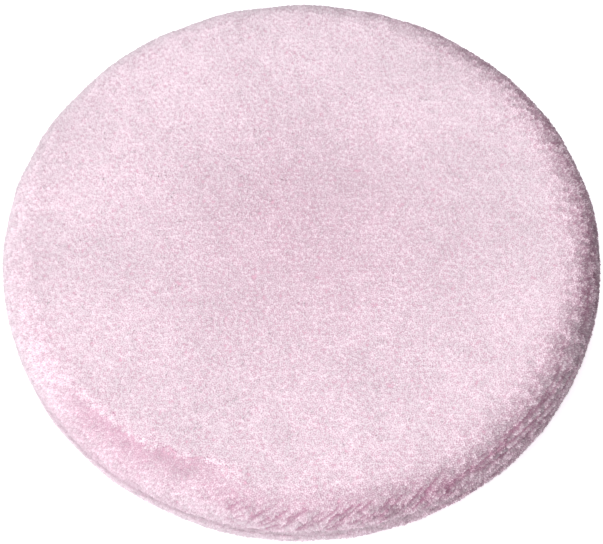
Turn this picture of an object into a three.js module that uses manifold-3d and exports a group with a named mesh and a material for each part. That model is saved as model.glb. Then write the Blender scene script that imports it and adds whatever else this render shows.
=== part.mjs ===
// Round velour powder puff, lying on its back with its face up.
// Two velour panels are whip-stitched together inside out round a soft foam disc and turned,
// and a satin ribbon sewn into the seam crosses the back, for the fingers to slip under.
// Lengths are in millimetres. Every piece is built about the seam plane, and the whole stands on z = 0.

import * as THREE from 'three';
import Module from 'manifold-3d';

const manifoldLibrary = await Module();
manifoldLibrary.setup();

// Round form, measured over the tips of the pile
const puffRadius = 40;
const edgeRadius = 5.1;
const lobeOffset = 1.3;
const crownRiseHeight = 1;
const restingFlatDepth = 0.5;
const seamPinchDepth = 1;

// Velour panels and the allowances turned in at their seam
const velourThickness = 1.8;
const allowanceWidth = 5;
const allowanceThickness = 0.9;
const seamGap = 0.3;

// Dimple that a thumb has left in the face, just inside its shoulder
const dimpleDepth = 1;
const dimpleDistance = 33;
const dimpleHalfWidth = 2.6;
const dimpleHalfLength = 12;
const dimpleBearing = THREE.MathUtils.degToRad(232);

// Foam disc
const foamClearance = 0.3;

// Whip stitch: one thread over the raw edges and down through a needle hole at each turn
const stitchCount = 44;
const closingStitchCount = 5;
const closingBearing = THREE.MathUtils.degToRad(90);
const threadRadius = 0.25;
const stitchInset = 0.9;
const stitchSlackGap = 0.5;
const needleClearance = 0.2;
const loopSquarenessShare = 0.6;

// Finger ribbon
const ribbonWidth = 16;
const ribbonThickness = 0.4;
const ribbonSinkDepth = 0.3;
const ribbonClearance = 0.3;
const ribbonFreeInset = 0.8;

// How far every cutting solid runs past what it cuts
const cutOverrun = 1;

// Facets
const sectorCount = stitchCount;
const faceCrownShares = [0.4, 0.68, 0.84, 0.94];
const linerCrownShares = [0.82];
const backCrownShares = [0.55];
const edgeSteps = 5;
const linerEdgeSteps = 3;
const stepsPerStitch = 8;
const threadSides = 5;
const ribbonStrips = 4;

// Sizes that follow from the ones above
const edgeCentreRadius = puffRadius - edgeRadius;
const crownHeight = edgeRadius + crownRiseHeight;
const crownRadius = (crownHeight ** 2 - edgeRadius ** 2 + edgeCentreRadius ** 2) / (2 * crownRiseHeight);
const crownCentreHeight = lobeOffset + crownHeight - crownRadius;
const crownEdgeAngle = Math.acos(edgeCentreRadius / (crownRadius - edgeRadius));
const seamHeight = lobeOffset + crownHeight - restingFlatDepth;
const allowanceTop = seamGap / 2 + allowanceThickness;
const rawEdgeRadius = edgePoint(0, edgeAngle(0, seamGap / 2)).radius - allowanceWidth;
const linerEndRadius = edgePoint(velourThickness, edgeAngle(velourThickness, allowanceTop)).radius;
const needleRadius = linerEndRadius - stitchInset;
const loopInnerRadius = rawEdgeRadius - threadRadius - stitchSlackGap;
const loopHalfHeight = allowanceTop + threadRadius + stitchSlackGap;
const stitchAngle = 2 * Math.PI / stitchCount;

// Angle on a panel's rounded edge, at a depth under the pile tips, where it reaches a height
function edgeAngle(depth, height) {
  return Math.asin((height - lobeOffset) / (edgeRadius - depth));
}

// A point of the rounded edge, drawn in towards the seam below its widest ring
function edgePoint(depth, angle) {
  const height = lobeOffset + (edgeRadius - depth) * Math.sin(angle);
  const nearness = Math.max(0, 1 - Math.max(0, height) / lobeOffset);
  const radius = edgeCentreRadius + (edgeRadius - depth) * Math.cos(angle) - seamPinchDepth * nearness ** 2;
  return { radius, height };
}

function crownPoint(depth, radius) {
  const height = crownCentreHeight + Math.sqrt((crownRadius - depth) ** 2 - radius ** 2);
  return { radius, height };
}

// Radius out to which the back is pressed flat
function flatRadius(depth) {
  const across = crownRadius - depth;
  return Math.sqrt(across ** 2 - (across - restingFlatDepth) ** 2);
}

function edgeRun(depth, endHeight, steps) {
  const endAngle = edgeAngle(depth, endHeight);
  const points = [];
  for (let step = 0; step <= steps; step++) {
    points.push(edgePoint(depth, THREE.MathUtils.lerp(crownEdgeAngle, endAngle, step / steps)));
  }
  return points;
}

// Face curve from the axis to the seam: a shallow crown that runs into the rounded edge
function faceCurve(depth, endHeight, crownShares, steps) {
  const edge = edgeRun(depth, endHeight, steps);
  const crown = crownShares.map((share) => crownPoint(depth, share * edge[0].radius));
  return [crownPoint(depth, 0), ...crown, ...edge];
}

// Back curve, the same but pressed flat in the middle; heights are still counted from the seam
function backCurve(depth, endHeight, steps) {
  const edge = edgeRun(depth, endHeight, steps);
  const flat = flatRadius(depth);
  const crownRadii = backCrownShares.map((share) => THREE.MathUtils.lerp(flat, edge[0].radius, share));
  const crown = crownRadii.map((radius) => crownPoint(depth, radius));
  const flatHeight = seamHeight - depth;
  return [{ radius: 0, height: flatHeight }, { radius: flat, height: flatHeight }, ...crown, ...edge];
}

function flipped(points) {
  return points.map((point) => ({ radius: point.radius, height: -point.height })).reverse();
}

// Drop of the face under the thumb's dimple, faded out down the rounded edge
function dimpleDrop(radius, height, angle) {
  const turn = Math.atan2(Math.sin(angle - dimpleBearing), Math.cos(angle - dimpleBearing));
  const across = (radius - dimpleDistance) / dimpleHalfWidth;
  const along = dimpleDistance * turn / dimpleHalfLength;
  const fade = THREE.MathUtils.clamp((height - lobeOffset) / crownHeight, 0, 1);
  return dimpleDepth * fade * Math.exp(-(across ** 2) - along ** 2);
}

function indexedGeometry(positions, triangles) {
  const geometry = new THREE.BufferGeometry();
  geometry.setAttribute('position', new THREE.Float32BufferAttribute(positions, 3));
  geometry.setIndex(triangles);
  geometry.computeVertexNormals();
  return geometry;
}

// Solid turned about the axis from an outline that starts and ends on it, dimpled where it is the face
function turnedSolid(outline, dimpled) {
  const rings = outline.slice(1, -1);
  const positions = [0, 0, outline[0].height];
  for (let sector = 0; sector < sectorCount; sector++) {
    const angle = (sector + 0.5) * 2 * Math.PI / sectorCount;
    for (const { radius, height } of rings) {
      const drop = dimpled ? dimpleDrop(radius, height, angle) : 0;
      positions.push(radius * Math.cos(angle), radius * Math.sin(angle), height - drop);
    }
  }
  positions.push(0, 0, outline[outline.length - 1].height);
  const last = positions.length / 3 - 1;
  const triangles = [];
  for (let sector = 0; sector < sectorCount; sector++) {
    const here = 1 + sector * rings.length;
    const next = 1 + ((sector + 1) % sectorCount) * rings.length;
    triangles.push(0, here, next);
    for (let ring = 0; ring < rings.length - 1; ring++) {
      triangles.push(here + ring, here + ring + 1, next + ring + 1);
      triangles.push(here + ring, next + ring + 1, next + ring);
    }
    triangles.push(here + rings.length - 1, last, next + rings.length - 1);
  }
  return indexedGeometry(positions, triangles);
}

// Band across the puff along X: each station has an under side and an upper side, whose reach is
// a signed radius, so that the band's ends curve with the round rim
function bandSolid(stations, halfWidth) {
  const positions = [];
  const columns = ribbonStrips + 1;
  for (const station of stations) {
    for (const side of [station.under, station.upper]) {
      for (let column = 0; column < columns; column++) {
        const y = THREE.MathUtils.lerp(-halfWidth, halfWidth, column / ribbonStrips);
        positions.push(Math.sign(side.reach) * Math.sqrt(side.reach ** 2 - y ** 2), y, side.height);
      }
    }
  }
  const under = (station, column) => station * 2 * columns + column;
  const upper = (station, column) => under(station, column) + columns;
  const triangles = [];
  const addQuad = (a, b, c, d) => triangles.push(a, b, c, a, c, d);
  const lastStation = stations.length - 1;
  for (let s = 0; s < lastStation; s++) {
    for (let c = 0; c < ribbonStrips; c++) {
      addQuad(under(s, c), under(s, c + 1), under(s + 1, c + 1), under(s + 1, c));
      addQuad(upper(s, c), upper(s + 1, c), upper(s + 1, c + 1), upper(s, c + 1));
    }
    const end = ribbonStrips;
    addQuad(under(s, 0), under(s + 1, 0), upper(s + 1, 0), upper(s, 0));
    addQuad(under(s, end), upper(s, end), upper(s + 1, end), under(s + 1, end));
  }
  for (let c = 0; c < ribbonStrips; c++) {
    addQuad(under(0, c), upper(0, c), upper(0, c + 1), under(0, c + 1));
    const s = lastStation;
    addQuad(under(s, c), under(s, c + 1), upper(s, c + 1), upper(s, c));
  }
  return indexedGeometry(positions, triangles);
}

function bandSide({ radius, height }) {
  return { reach: radius, height };
}

function mirroredStations(stations) {
  const mirror = ({ reach, height }) => ({ reach: -reach, height });
  return stations.map(({ under, upper }) => ({ under: mirror(under), upper: mirror(upper) })).reverse();
}

// Stations of a band that lies on the back between two depths, from a start radius up to the seam
function backStations(underDepth, upperDepth, startRadius, underEnd, upperEnd) {
  const side = (depth, endHeight) => {
    const curve = backCurve(depth, endHeight, edgeSteps).slice(1);
    const start = { radius: startRadius, height: seamHeight - depth };
    return [start, ...curve].map(({ radius, height }) => bandSide({ radius, height: -height }));
  };
  const under = side(underDepth, underEnd);
  const upper = side(upperDepth, upperEnd);
  return under.map((point, index) => ({ under: point, upper: upper[index] }));
}

function toSolid(geometry) {
  const { Manifold, Mesh } = manifoldLibrary;
  const vertProperties = geometry.getAttribute('position').array;
  const triVerts = new Uint32Array(geometry.index.array);
  return new Manifold(new Mesh({ numProp: 3, vertProperties, triVerts }));
}

function toGeometry(solid) {
  const { vertProperties, triVerts } = solid.getMesh();
  return indexedGeometry(Array.from(vertProperties), Array.from(triVerts));
}

// Place on the whip stitch after a number of turns, whole at the needle holes, where the thread
// stays at one bearing while it passes down through the allowances
function threadPlace(turns) {
  const spin = 2 * Math.PI * turns;
  const bearing = (turns - Math.sin(spin) / (2 * Math.PI)) * stitchAngle;
  const squared = (value) => Math.sign(value) * Math.abs(value) ** loopSquarenessShare;
  const middle = (needleRadius + loopInnerRadius) / 2;
  const radius = middle + (needleRadius - loopInnerRadius) / 2 * squared(Math.cos(spin));
  const height = -loopHalfHeight * squared(Math.sin(spin));
  const centre = new THREE.Vector3(radius * Math.cos(bearing), radius * Math.sin(bearing), height);
  const heart = new THREE.Vector3(middle * Math.cos(bearing), middle * Math.sin(bearing), 0);
  return { centre, outward: centre.clone().sub(heart).normalize() };
}

// One unbroken thread from the first stitch to the last; its ends stop clear of the next run
function threadTube(firstStitch, lastStitch) {
  const endShare = 3 / stepsPerStitch;
  const start = firstStitch - endShare;
  const steps = Math.round((lastStitch - firstStitch + 2 * endShare) * stepsPerStitch);
  const places = [];
  for (let step = -1; step <= steps + 1; step++) {
    places.push(threadPlace(start + step / stepsPerStitch));
  }
  const positions = [];
  for (let i = 1; i <= steps + 1; i++) {
    const tangent = places[i + 1].centre.clone().sub(places[i - 1].centre).normalize();
    const across = tangent.clone().cross(places[i].outward).normalize();
    const away = across.clone().cross(tangent);
    for (let side = 0; side < threadSides; side++) {
      const angle = 2 * Math.PI * side / threadSides;
      const corner = places[i].centre.clone()
        .addScaledVector(away, threadRadius * Math.cos(angle))
        .addScaledVector(across, threadRadius * Math.sin(angle));
      positions.push(corner.x, corner.y, corner.z);
    }
  }
  const triangles = [];
  for (let step = 0; step < steps; step++) {
    for (let side = 0; side < threadSides; side++) {
      const a = step * threadSides + side;
      const b = step * threadSides + (side + 1) % threadSides;
      triangles.push(a, b, b + threadSides, a, b + threadSides, a + threadSides);
    }
  }
  const lastRing = steps * threadSides;
  for (let side = 1; side < threadSides - 1; side++) {
    triangles.push(0, side + 1, side);
    triangles.push(lastRing, lastRing + side, lastRing + side + 1);
  }
  reportLeastGap(places.slice(1, -1).map((place) => place.centre));
  return indexedGeometry(positions, triangles);
}

// Least clear distance between stretches of the thread that are half a turn or more apart
function reportLeastGap(centres) {
  let least = Infinity;
  for (let i = 0; i < centres.length; i++) {
    for (let j = i + stepsPerStitch / 2; j < centres.length; j++) {
      least = Math.min(least, centres[i].distanceTo(centres[j]));
    }
  }
  console.log(`least gap of the thread to itself: ${(least - 2 * threadRadius).toFixed(2)} mm`);
}

// Needle holes, one slim upright prism for each stitch
function needleHoles() {
  const top = allowanceTop + cutOverrun;
  const halfWidth = threadRadius + needleClearance;
  const turningRadius = threadPlace(1 / stepsPerStitch).centre.length();
  const inner = (needleRadius + turningRadius) / 2 - halfWidth;
  const outer = needleRadius + halfWidth;
  const corners = [[inner, -halfWidth], [outer, -halfWidth], [outer, halfWidth], [inner, halfWidth]];
  const positions = [];
  const triangles = [];
  for (let stitch = 0; stitch < stitchCount; stitch++) {
    const out = new THREE.Vector2(Math.cos(stitch * stitchAngle), Math.sin(stitch * stitchAngle));
    const first = positions.length / 3;
    for (const height of [-top, top]) {
      for (const [reach, shift] of corners) {
        positions.push(reach * out.x - shift * out.y, reach * out.y + shift * out.x, height);
      }
    }
    for (let corner = 0; corner < 4; corner++) {
      const a = first + corner;
      const b = first + (corner + 1) % 4;
      triangles.push(a, b, b + 4, a, b + 4, a + 4);
    }
    triangles.push(first, first + 2, first + 1, first, first + 3, first + 2);
    triangles.push(first + 4, first + 5, first + 6, first + 4, first + 6, first + 7);
  }
  return toSolid(indexedGeometry(positions, triangles));
}

// Room for the ribbon's tails between the two allowances, one at each side
function tailSlots() {
  const halfHeight = ribbonThickness / 2 + ribbonClearance;
  const reach = edgePoint(ribbonSinkDepth, edgeAngle(ribbonSinkDepth, 0)).radius + ribbonClearance;
  const stations = [rawEdgeRadius - cutOverrun, reach].map((radius) => ({
    under: { reach: radius, height: -halfHeight },
    upper: { reach: radius, height: halfHeight },
  }));
  const halfWidth = ribbonWidth / 2 + ribbonClearance;
  const right = toSolid(bandSolid(stations, halfWidth));
  const left = toSolid(bandSolid(mirroredStations(stations), halfWidth));
  return right.add(left);
}

// Channel that the ribbon crushes in the back's pile, from seam to seam
function ribbonChannel() {
  const depth = ribbonSinkDepth + ribbonThickness + ribbonClearance;
  const right = backStations(-cutOverrun, depth, flatRadius(depth) / 2, 0, 0);
  return toSolid(bandSolid([...mirroredStations(right), ...right], ribbonWidth / 2 + ribbonClearance));
}

function facePanel() {
  const outside = faceCurve(0, seamGap / 2, faceCrownShares, edgeSteps);
  const inside = faceCurve(velourThickness, allowanceTop, linerCrownShares, linerEdgeSteps);
  const allowance = [
    { radius: rawEdgeRadius, height: seamGap / 2 },
    { radius: rawEdgeRadius, height: allowanceTop },
  ];
  const panel = toSolid(turnedSolid([...outside, ...allowance, ...inside.reverse()], true));
  return toGeometry(panel.subtract(needleHoles()).subtract(tailSlots()));
}

function backPanel() {
  const outside = backCurve(0, seamGap / 2, edgeSteps);
  const inside = backCurve(velourThickness, allowanceTop, linerEdgeSteps);
  const allowance = [
    { radius: rawEdgeRadius, height: seamGap / 2 },
    { radius: rawEdgeRadius, height: allowanceTop },
  ];
  const panel = toSolid(turnedSolid(flipped([...outside, ...allowance, ...inside.reverse()]), false));
  return toGeometry(panel.subtract(needleHoles()).subtract(tailSlots()).subtract(ribbonChannel()));
}

// Foam disc that fills both panels, its rim nipped in round the stitched allowances
function foamDisc() {
  const depth = velourThickness + foamClearance;
  const nipHeight = loopHalfHeight + threadRadius + foamClearance;
  const nipRadius = loopInnerRadius - threadRadius - foamClearance;
  const top = faceCurve(depth, nipHeight, linerCrownShares, linerEdgeSteps);
  const bottom = flipped(backCurve(depth, nipHeight, linerEdgeSteps));
  const nip = [{ radius: nipRadius, height: nipHeight }, { radius: nipRadius, height: -nipHeight }];
  return turnedSolid([...top, ...nip, ...bottom], true);
}

// Middle stretch of the ribbon, which lifts off the back
function freeRibbon(freeRadius) {
  const height = ribbonSinkDepth - seamHeight;
  const stations = [-freeRadius, freeRadius].map((reach) => ({
    under: { reach, height },
    upper: { reach, height: height + ribbonThickness },
  }));
  return bandSolid(stations, ribbonWidth / 2);
}

// End stretch of the ribbon: round the back's edge, then a tail sewn in between the allowances
function ribbonEndStations(startRadius) {
  const half = ribbonThickness / 2;
  const lying = backStations(ribbonSinkDepth, ribbonSinkDepth + ribbonThickness, startRadius, -half, half);
  const tail = {
    under: { reach: rawEdgeRadius, height: half },
    upper: { reach: rawEdgeRadius, height: -half },
  };
  return [...lying, tail];
}

function ribbonEnd(stations) {
  return toGeometry(toSolid(bandSolid(stations, ribbonWidth / 2)).subtract(needleHoles()));
}

function fabric(colour, roughness) {
  return new THREE.MeshStandardMaterial({ color: colour, roughness, metalness: 0 });
}

const velour = fabric('#e9cbda', 0.95);
const satin = fabric('#efc9d9', 0.4);
const foam = fabric('#f4efe6', 0.9);
const sewingThread = fabric('#dfb2c6', 0.7);

const puff = new THREE.Group();
puff.position.z = seamHeight;

function addPiece(name, geometry, material) {
  const piece = new THREE.Mesh(geometry, material);
  piece.name = name;
  puff.add(piece);
}

const ribbonFreeRadius = flatRadius(ribbonSinkDepth) - ribbonFreeInset;
const ribbonStations = ribbonEndStations(ribbonFreeRadius + ribbonClearance);
const closingFirst = Math.round(closingBearing / stitchAngle - closingStitchCount / 2);
const closingLast = closingFirst + closingStitchCount - 1;

addPiece('face_velour', facePanel(), velour);
addPiece('back_velour', backPanel(), velour);
addPiece('foam_core', foamDisc(), foam);
addPiece('seam_thread', threadTube(closingLast + 1, closingFirst - 1 + stitchCount), sewingThread);
addPiece('closing_thread', threadTube(closingFirst, closingLast), sewingThread);
addPiece('finger_ribbon', freeRibbon(ribbonFreeRadius), satin);
addPiece('ribbon_end_right', ribbonEnd(ribbonStations), satin);
addPiece('ribbon_end_left', ribbonEnd(mirroredStations(ribbonStations)), satin);

const part = new THREE.Group();
part.add(puff);

export default part;
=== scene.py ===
import math

import bpy
import numpy as np
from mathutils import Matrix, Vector, noise
from mathutils.bvhtree import BVHTree
from mathutils.kdtree import KDTree


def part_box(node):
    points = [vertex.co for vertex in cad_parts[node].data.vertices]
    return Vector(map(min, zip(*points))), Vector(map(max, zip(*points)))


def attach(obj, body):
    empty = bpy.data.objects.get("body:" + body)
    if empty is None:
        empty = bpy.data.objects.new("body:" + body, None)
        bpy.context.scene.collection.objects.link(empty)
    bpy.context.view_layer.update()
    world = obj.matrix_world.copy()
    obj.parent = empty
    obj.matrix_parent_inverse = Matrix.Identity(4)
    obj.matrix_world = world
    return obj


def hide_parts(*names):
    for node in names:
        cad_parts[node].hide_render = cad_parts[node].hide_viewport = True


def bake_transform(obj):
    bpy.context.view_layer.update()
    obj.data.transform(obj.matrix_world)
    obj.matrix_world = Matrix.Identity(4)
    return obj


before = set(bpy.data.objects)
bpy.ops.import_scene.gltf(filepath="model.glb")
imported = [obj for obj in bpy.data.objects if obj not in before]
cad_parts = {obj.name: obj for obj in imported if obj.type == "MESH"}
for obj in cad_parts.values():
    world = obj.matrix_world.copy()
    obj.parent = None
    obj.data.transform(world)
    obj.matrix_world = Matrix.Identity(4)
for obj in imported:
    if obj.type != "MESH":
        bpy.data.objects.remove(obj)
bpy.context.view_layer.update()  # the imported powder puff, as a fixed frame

# Sizes are in millimetres, and mm turns them to metres. Heights are counted from the seam plane, on the
# panel's own side, z from the table, bearings about the puff's axis from image right, and reaches from it.
mm = 0.001

puffForm = {  # the round form, over the tips of the pile
    "radius": 40,
    "edgeRadius": 5.1,
    "lobeOffset": 1.3,  # height of each panel's widest ring
    "crownRise": 1,
    "seamPinch": 1,
    "pinchLeft": 0.2,  # what the pile leaves of it to be seen
    "seamGap": 0.3,
    "allowanceWidth": 5,
}
edgeCentre = puffForm["radius"] - puffForm["edgeRadius"]
crownHeight = puffForm["edgeRadius"] + puffForm["crownRise"]
crownRadius = (crownHeight**2 - puffForm["edgeRadius"] ** 2 + edgeCentre**2) / (2 * puffForm["crownRise"])
crownCentre = puffForm["lobeOffset"] + crownHeight - crownRadius
crownEdgeAngle = math.acos(edgeCentre / (crownRadius - puffForm["edgeRadius"]))
seamDrop = puffForm["lobeOffset"] - puffForm["seamGap"] / 2
seamReach = edgeCentre + math.sqrt(puffForm["edgeRadius"] ** 2 - seamDrop**2)
seamReach -= puffForm["seamPinch"] * (1 - puffForm["seamGap"] / 2 / puffForm["lobeOffset"]) ** 2
rawEdgeRadius = seamReach - puffForm["allowanceWidth"]
seamZ = (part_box("face_velour")[0].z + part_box("back_velour")[1].z) / 2 / mm
fineSpacing = 0.05  # between the places at which a half-section is read

dimple = {  # a thumb's dent on the shoulder: steep on its inner side, fading toward the rim
    "depth": 0.95,
    # bearing in degrees and reach of its inner edge, with two corners
    "edge": [
        (205, 37.6), (214, 37.2), (220, 36.4), (232, 35.6), (239, 35.8), (240.5, 34.7),
        (247, 35.0), (248.5, 34.2), (252, 34.3), (256, 35.6), (266, 37.0),
    ],
    "wall": 0.9,
    "outer": 3.2,
    "fullFrom": 0.7,  # share of the crown's height from which it is as deep as that
    "bearing": math.radians(236),
    "halfLength": 12.5,
    "napLean": 0.9,  # the nap is brushed flat in it, outward, and the dent is painted darker pink as shade
    "napLower": 0.25,
    "dentPaintedShade": 0.48,
    "napWall": (-0.15, 0.6),  # start, beyond the inner edge, and width
    "napReach": 3.8,
}


# Helpers
def linearColour(hexText):
    parts = [int(hexText[i : i + 2], 16) / 255 for i in (1, 3, 5)]
    return [c / 12.92 if c <= 0.04045 else ((c + 0.055) / 1.055) ** 2.4 for c in parts] + [1.0]


def addNode(material, kind, settings, inputs):
    node = material.node_tree.nodes.new("ShaderNode" + kind)
    for key, value in settings.items():
        setattr(node, key, value)
    for socket, value in inputs.items():
        if isinstance(value, bpy.types.NodeSocket):
            material.node_tree.links.new(value, node.inputs[socket])
        else:
            node.inputs[socket].default_value = value
    return node


def multiply(material, kind, first, second):
    return addNode(material, kind, {"operation": "MULTIPLY"}, {0: first, 1: second}).outputs[0]


def addRamp(material, value, colours, positions):
    ramp = addNode(material, "ValToRGB", {}, {"Fac": value})
    for element, colour, position in zip(ramp.color_ramp.elements, colours, positions):
        element.color, element.position = linearColour(colour), position
    return ramp


def newMaterial(name, sockets):
    material = bpy.data.materials.new(name)
    material.use_nodes = True
    shader = material.node_tree.nodes["Principled BSDF"]
    for socket, value in sockets.items():
        shader.inputs[socket].default_value = value
    return material, shader


def connect(material, output, shader, socket):
    material.node_tree.links.new(output, shader.inputs[socket])


def soleSelect(obj):
    bpy.ops.object.select_all(action="DESELECT")
    obj.select_set(True)
    bpy.context.view_layer.objects.active = obj


def applyPlace():
    bpy.ops.object.transform_apply(location=True, rotation=False, scale=False)


def finishModifier(obj, kind, settings):
    soleSelect(obj)
    bpy.ops.object.modifier_add(type=kind)
    modifier = obj.modifiers[-1]
    for key, value in settings.items():
        setattr(modifier, key, value)
    bpy.ops.object.modifier_apply(modifier=modifier.name)


def readPoints(mesh):
    points = np.empty(len(mesh.vertices) * 3)
    mesh.vertices.foreach_get("co", points)
    return points.reshape(-1, 3) / mm


def reachAndBearing(points):
    return np.hypot(points[:, 0], points[:, 1]), np.arctan2(points[:, 1], points[:, 0])


def writePoints(mesh, points):
    mesh.vertices.foreach_set("co", (points * mm).ravel())
    mesh.update()


def readNormals(mesh):
    normals = np.empty(len(mesh.vertices) * 3)
    mesh.vertices.foreach_get("normal", normals)
    return normals.reshape(-1, 3)


def smooth(obj):
    obj.data.polygons.foreach_set("use_smooth", np.ones(len(obj.data.polygons), bool))
    obj.data.update()


def smoothStep(value, width):
    share = np.clip(value / width, 0, 1)
    return share**2 * (3 - 2 * share)


def stepFrom(value, startAndWidth):
    start, width = startAndWidth
    return smoothStep(value - start, width)


# Half-section of a panel, from the axis to the seam, at a depth under the pile tips
def panelSection(depth, pressed, spacing):
    edge = puffForm["edgeRadius"] - depth
    lobe = puffForm["lobeOffset"]
    samples = 400
    endAngle = math.asin((puffForm["seamGap"] / 2 - lobe) / edge)
    angles = np.linspace(crownEdgeAngle, endAngle, samples)
    edgeHeight = lobe + edge * np.sin(angles)
    nearness = np.clip(1 - np.clip(edgeHeight, 0, None) / lobe, 0, None)
    edgeReach = edgeCentre + edge * np.cos(angles) - puffForm["pinchLeft"] * nearness**2
    crownReach = np.linspace(0, edgeReach[0], samples)[:-1]
    crown = crownCentre + np.sqrt((crownRadius - depth) ** 2 - crownReach**2)
    reach = np.r_[crownReach, edgeReach]
    height = np.r_[crown, edgeHeight]
    if pressed:
        height = np.minimum(height, seamZ - depth)
    along = np.r_[0, np.cumsum(np.hypot(np.diff(reach), np.diff(height)))]
    even = np.linspace(0, along[-1], round(along[-1] / spacing) + 1)
    return even, np.interp(even, along, reach), np.interp(even, along, height)


# Distance beyond the dent's inner edge, and how far along it a place is, from 0 to 1 at its ends
def inDimple(reach, bearing):
    bearings, reaches = zip(*dimple["edge"])
    off = reach - np.interp(np.degrees(bearing) % 360, bearings, reaches)
    turn = np.arctan2(np.sin(bearing - dimple["bearing"]), np.cos(bearing - dimple["bearing"]))
    return off, reaches[3] * turn / dimple["halfLength"]


def dimpleDrop(reach, height, bearing, slack=0):
    off, along = inDimple(reach, bearing)
    wall = dimple["wall"] + slack
    across = smoothStep(off + wall / 2 + slack / 2, wall)
    across = across * np.exp(-((np.clip(off, 0, None) / dimple["outer"]) ** 2))
    deepness = smoothStep(height, crownHeight * dimple["fullFrom"])
    return dimple["depth"] * deepness * across * np.exp(-(along**4))


# How far the nap is brushed flat at a tuft in the dent, which also scales the dent's painted shade
def dentShare(reach, bearing):
    off, along = inDimple(reach, bearing)
    return stepFrom(off, dimple["napWall"]) * np.exp(-((off / dimple["napReach"]) ** 2) - along**4)


# A round piece: a vertex is extruded along the half-section, which is then spun
def spinSection(name, reach, height, sectors):
    bpy.ops.object.select_all(action="DESELECT")
    bpy.ops.mesh.primitive_plane_add(size=1 * mm, location=(reach[0] * mm, 0, height[0] * mm))
    piece = bpy.context.object
    piece.name = piece.data.name = name
    applyPlace()
    bpy.ops.object.mode_set(mode="EDIT")
    bpy.ops.mesh.select_all(action="SELECT")
    bpy.ops.mesh.merge(type="CENTER")
    for i in range(1, len(reach)):
        step = ((reach[i] - reach[i - 1]) * mm, 0, (height[i] - height[i - 1]) * mm)
        bpy.ops.mesh.extrude_region_move(TRANSFORM_OT_translate={"value": step})
    bpy.ops.mesh.select_all(action="SELECT")
    bpy.ops.mesh.spin(steps=sectors, angle=math.tau, center=(0, 0, 0), axis=(0, 0, 1))
    bpy.ops.mesh.select_all(action="SELECT")
    bpy.ops.mesh.remove_doubles(threshold=0.01 * mm)
    bpy.ops.mesh.normals_make_consistent(inside=False)
    bpy.ops.object.mode_set(mode="OBJECT")
    return piece


# Cloth of the two panels
cover = {
    "rootDepth": 0.4,  # the pile is too dense to see deeper, so tufts stand free only above it
    "clothThickness": 1.4,  # dense pile and its ground
    "allowanceThickness": 0.9,
    "channelDepth": 0.55,  # how far the ribbon is pressed into the back
    "sectors": 144,
    "spacing": 1.0,
    "fullness": 0.03,  # how much wider than its form the cloth is
    "pressure": 4,
    "frames": 20,
    "mostMove": 0.25,
    "foldShare": 0.3,  # how much of them is kept: the photograph shows a faint unevenness only
    "allowanceSteps": 5,
    "spreadHeight": 1.6,  # the cloth below this height opens round the ribbon's tails
    "tailSpread": 0.35,
    "seamBand": 0.01,  # height within which the cloth is turned in
}
rootEdge = puffForm["edgeRadius"] - cover["rootDepth"]  # the edge as it is at the roots of the pile
rootReach = edgeCentre + rootEdge


# 1 over the width of the ribbon, fading out beside it
def overRibbon(y):
    return smoothStep(ribbon["width"] / 2 + ribbon["room"] + 1.2 - np.abs(y), 1.2)


# Whip stitch through both allowances, and its needle's holes
stitch = {
    "count": 44,
    "needleRadius": 37.25,
    "plyRadius": 0.13,
    "plyTwist": 1.3,  # length of one turn of the two plies
    "plyNest": 0.93,  # how far apart they lie, as a share of their width
    "edgeGap": 0.08,
    "topGap": 0.1,
    "squareness": 0.6,
    "hole": (0.62, 3.2, 10),  # width, depth and sides
    "steps": 24,
    "closing": (9, 13),  # first and last stitch of each run
    "seam": (14, 52),
    "tailEnd": 3 / 8,  # how much of a stitch it goes on beyond them
}
ribbon = {
    "width": 16,
    "thickness": 0.4,
    "sunk": 0.5,  # depth of its middle under the pile tips
    "room": 0.3,
    "seamStretch": 0.15,  # the last of it before the tail lies level with the seam
    "ripple": 0.05,
    "rippleWaves": (0.42, 0.35),  # in radians per millimetre, along and across
    "rippleEnd": (34, 4),  # reach at which it has died out, and width
    "edge": 0.12,
    "rows": 32,
    "spacing": 0.5,
    "warpPitch": 0.25,  # coarser than real warp threads, which are 0.1 mm apart
}


def cutHoles(piece, z):
    width, depth, sides = stitch["hole"]
    bpy.ops.object.select_all(action="DESELECT")
    bpy.ops.mesh.primitive_cylinder_add(
        vertices=sides, radius=width / 2 * mm, depth=depth * mm,
        location=(stitch["needleRadius"] * mm, 0, z * mm),
    )
    needle = bpy.context.object
    applyPlace()
    one = readPoints(needle.data)
    bpy.ops.object.mode_set(mode="EDIT")
    for k in range(1, stitch["count"]):
        bpy.ops.mesh.select_all(action="DESELECT")
        bpy.ops.object.mode_set(mode="OBJECT")
        needle.data.vertices.foreach_set("select", np.arange(len(needle.data.vertices)) < len(one))
        bpy.ops.object.mode_set(mode="EDIT")
        bpy.ops.mesh.duplicate()
        bpy.ops.transform.rotate(
            value=-math.tau * k / stitch["count"], orient_axis="Z", center_override=(0, 0, 0)
        )
    bpy.ops.object.mode_set(mode="OBJECT")
    finishModifier(piece, "BOOLEAN", {"object": needle, "operation": "DIFFERENCE", "solver": "MANIFOLD"})
    piece.data.materials.clear()  # the cut adds an empty slot
    bpy.data.objects.remove(needle)


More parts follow.
